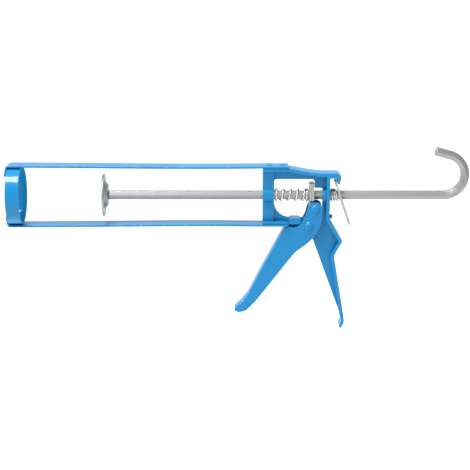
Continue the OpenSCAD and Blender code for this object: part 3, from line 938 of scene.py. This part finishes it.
def turn_neck(bm, start, tip, neck):
    """The rod's turned neck and its peened tip, round the rod's axis."""
    outline = [(start + 0.2 * MM, neck), (tip + 1.5 * MM, neck), (tip + 1.5 * MM, neck + 0.9 * MM),
               (tip + 1.3 * MM, neck + 1.1 * MM), (tip + 0.9 * MM, neck + 0.6 * MM),
               (tip + 0.35 * MM, neck - 0.6 * MM), (tip + 0.08 * MM, neck - 1.9 * MM)]
    turns = [2 * math.pi * k / NECK_STEPS for k in range(NECK_STEPS)]
    rings = [[bm.verts.new((x, r * math.cos(turn), r * math.sin(turn))) for turn in turns]
             for x, r in outline]
    for ring, following in zip(rings, rings[1:]):
        for k in range(NECK_STEPS):
            j = (k + 1) % NECK_STEPS
            bm.faces.new((ring[k], ring[j], following[j], following[k]))
    bm.faces.new(rings[0])
    bm.faces.new(rings[-1])


def make_rod():
    """The rod: an eased hexagon carried along the bar and round the hook, and a peened neck."""
    rod = bpy.context.scene.gun_rod
    node = "push_rod"
    corner = span(node).y / 2
    flat = corner * math.cos(math.radians(30))
    tip = low(node).x
    start = tip + rod.neck_end
    bend_x = high(node).x - rod.hook_radius - flat
    bm = bmesh.new()
    carry(bm, rod_path(start, bend_x, rod), hexagon(corner, rod.corner), corner)
    turn_neck(bm, start, tip, rod.neck)
    bmesh.ops.recalc_face_normals(bm, faces=bm.faces)
    return piece_from("push_rod_bar", bm, finish_for(slot_of(node)))


def make_plunger():
    """The plunger: thin pressed sheet with a low lip and a coned hub."""
    press = bpy.context.scene.gun_plunger
    node = "plunger_disc"
    front = low(node).x
    back = front + press.sheet
    top = high(node).x
    rim = span(node).z / 2
    slant = 0.4 * press.sheet
    profile = eased([
        (top, press.hole, 0), (top, press.crown + slant, 1.6 * MM),
        (back, press.hub_foot + slant, 1.8 * MM), (back, rim - press.lip - press.sheet, 0.9 * MM),
        (back + press.lip, rim - press.sheet, 0.5 * MM), (back + press.lip, rim, 0.45 * MM),
        (back, rim, 0.6 * MM), (front, rim - 0.5 * press.sheet, 0.8 * MM),
        (front, press.hub_foot - slant, 1.8 * MM), (top - press.sheet, press.crown - slant, 1.2 * MM),
        (top - press.sheet, press.hole, 0)])
    return turned_on((1, 0, 0), profile, 128, "plunger_pressing", finish_for(slot_of(node)))


# ----------------------------------------------------------------------- stage

FLOOR_HALF = 30.0
# Each light's name, its place from the gun's middle, the side of its square and its power in watts
LIGHTS = (
    ("key", (-0.4, -0.45, 1.6), 0.6, 40.0),
    ("side", (-1.9, -0.7, 0.85), 0.4, 13.0),
    ("fill", (0.8, -1.6, 0.5), 1.4, 3.0),
)


def make_floor(context):
    """A wide, pale, plain floor well below the gun."""
    stage = context.scene.gun_stage
    level = CAD_BOX[0].z - stage.drop
    corners = [(x * FLOOR_HALF, y * FLOOR_HALF, level) for x, y in ((-1, -1), (1, -1), (1, 1), (-1, 1))]
    mesh = bpy.data.meshes.new("floor")
    mesh.from_pydata(corners, [], [(0, 1, 2, 3)])
    floor = bpy.data.objects.new("floor", mesh)
    context.scene.collection.objects.link(floor)
    pale = bpy.data.materials.new("pale_floor")
    pale.use_nodes = True
    shader = pale.node_tree.nodes["Principled BSDF"]
    shader.inputs["Base Color"].default_value = (0.8, 0.8, 0.8, 1)
    shader.inputs["Roughness"].default_value = 0.9
    shader.inputs["Specular IOR Level"].default_value = 0.0
    shader.inputs["Emission Color"].default_value = (1, 1, 1, 1)
    shader.inputs["Emission Strength"].default_value = stage.glow
    mesh.materials.append(pale)


def soft_light(name, place, aim, size, power):
    """A large square area light that looks at a point."""
    light = bpy.data.lights.new(name, "AREA")
    light.shape = "SQUARE"
    light.size = size
    light.energy = power
    lamp = bpy.data.objects.new(name, light)
    lamp.location = place
    lamp.rotation_euler = (Vector(aim) - Vector(place)).to_track_quat("-Z", "Y").to_euler()
    bpy.context.scene.collection.objects.link(lamp)


def make_lights(context):
    """An even white world, a key light above, a low light from the left and a soft fill from the front."""
    stage = context.scene.gun_stage
    world = context.scene.world or bpy.data.worlds.new("world")
    context.scene.world = world
    world.use_nodes = True
    background = world.node_tree.nodes["Background"]
    background.inputs["Color"].default_value = (1, 1, 1, 1)
    background.inputs["Strength"].default_value = stage.world
    centre = (CAD_BOX[0] + CAD_BOX[1]) / 2
    for name, place, size, power in LIGHTS:
        soft_light(name, centre + Vector(place), centre, size, power)


def make_camera(context):
    """The camera on the gun's left side, a little above it, with plain colour handling."""
    stage = context.scene.gun_stage
    context.scene.view_settings.view_transform = "Standard"
    context.scene.view_settings.look = "None"
    aim = Vector((stage.aim_x, 0, -stage.aim_drop))
    back = Vector((0, -math.cos(stage.elevation), math.sin(stage.elevation)))
    lens = bpy.data.cameras.new("camera")
    lens.lens = stage.lens
    lens.sensor_width = 36.0
    camera = bpy.data.objects.new("camera", lens)
    camera.location = aim + back * stage.distance
    camera.rotation_euler = (-back).to_track_quat("-Z", "Y").to_euler()
    context.scene.collection.objects.link(camera)
    context.scene.camera = camera


# ------------------------------------------------------------ panel and add-on

class GUN_PT_panel(Panel):
    """Lists the gun's pieces in the sidebar"""
    bl_idname = "GUN_PT_panel"
    bl_label = "Caulking gun"
    bl_space_type = "VIEW_3D"
    bl_region_type = "UI"
    bl_category = "Caulking gun"

    def draw(self, context):
        for group in SETTINGS:
            box = self.layout.box()
            settings = getattr(context.scene, group)
            for name in settings.__annotations__:
                box.prop(settings, name)
        for operator in PIECES:
            self.layout.operator(operator.bl_idname)


PIECES = (GUN_OT_cradle, GUN_OT_frame, GUN_OT_trigger, GUN_OT_plates, GUN_OT_rivets, GUN_OT_springs,
          GUN_OT_rod, GUN_OT_plunger, GUN_OT_stage)
SETTINGS = {
    "gun_paint": GunPaintSettings,
    "gun_metal": GunMetalSettings,
    "gun_edges": GunEdgeSettings,
    "gun_springs": GunSpringSettings,
    "gun_rivets": GunRivetSettings,
    "gun_rod": GunRodSettings,
    "gun_plunger": GunPlungerSettings,
    "gun_stage": GunStageSettings,
}
CLASSES = (*SETTINGS.values(), *PIECES, GUN_PT_panel)


def register():
    """Registers the classes and hangs their settings on the scene."""
    for cls in CLASSES:
        bpy.utils.register_class(cls)
    for name, group in SETTINGS.items():
        setattr(bpy.types.Scene, name, PointerProperty(type=group))


def unregister():
    """Takes the settings and the classes away again."""
    for name in SETTINGS:
        delattr(bpy.types.Scene, name)
    for cls in reversed(CLASSES):
        bpy.utils.unregister_class(cls)


def main():
    """Registers the add-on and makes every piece."""
    register()
    for operator in PIECES:
        group, name = operator.bl_idname.split(".")
        getattr(getattr(bpy.ops, group), name)()


if __name__ == "__main__":
    main()
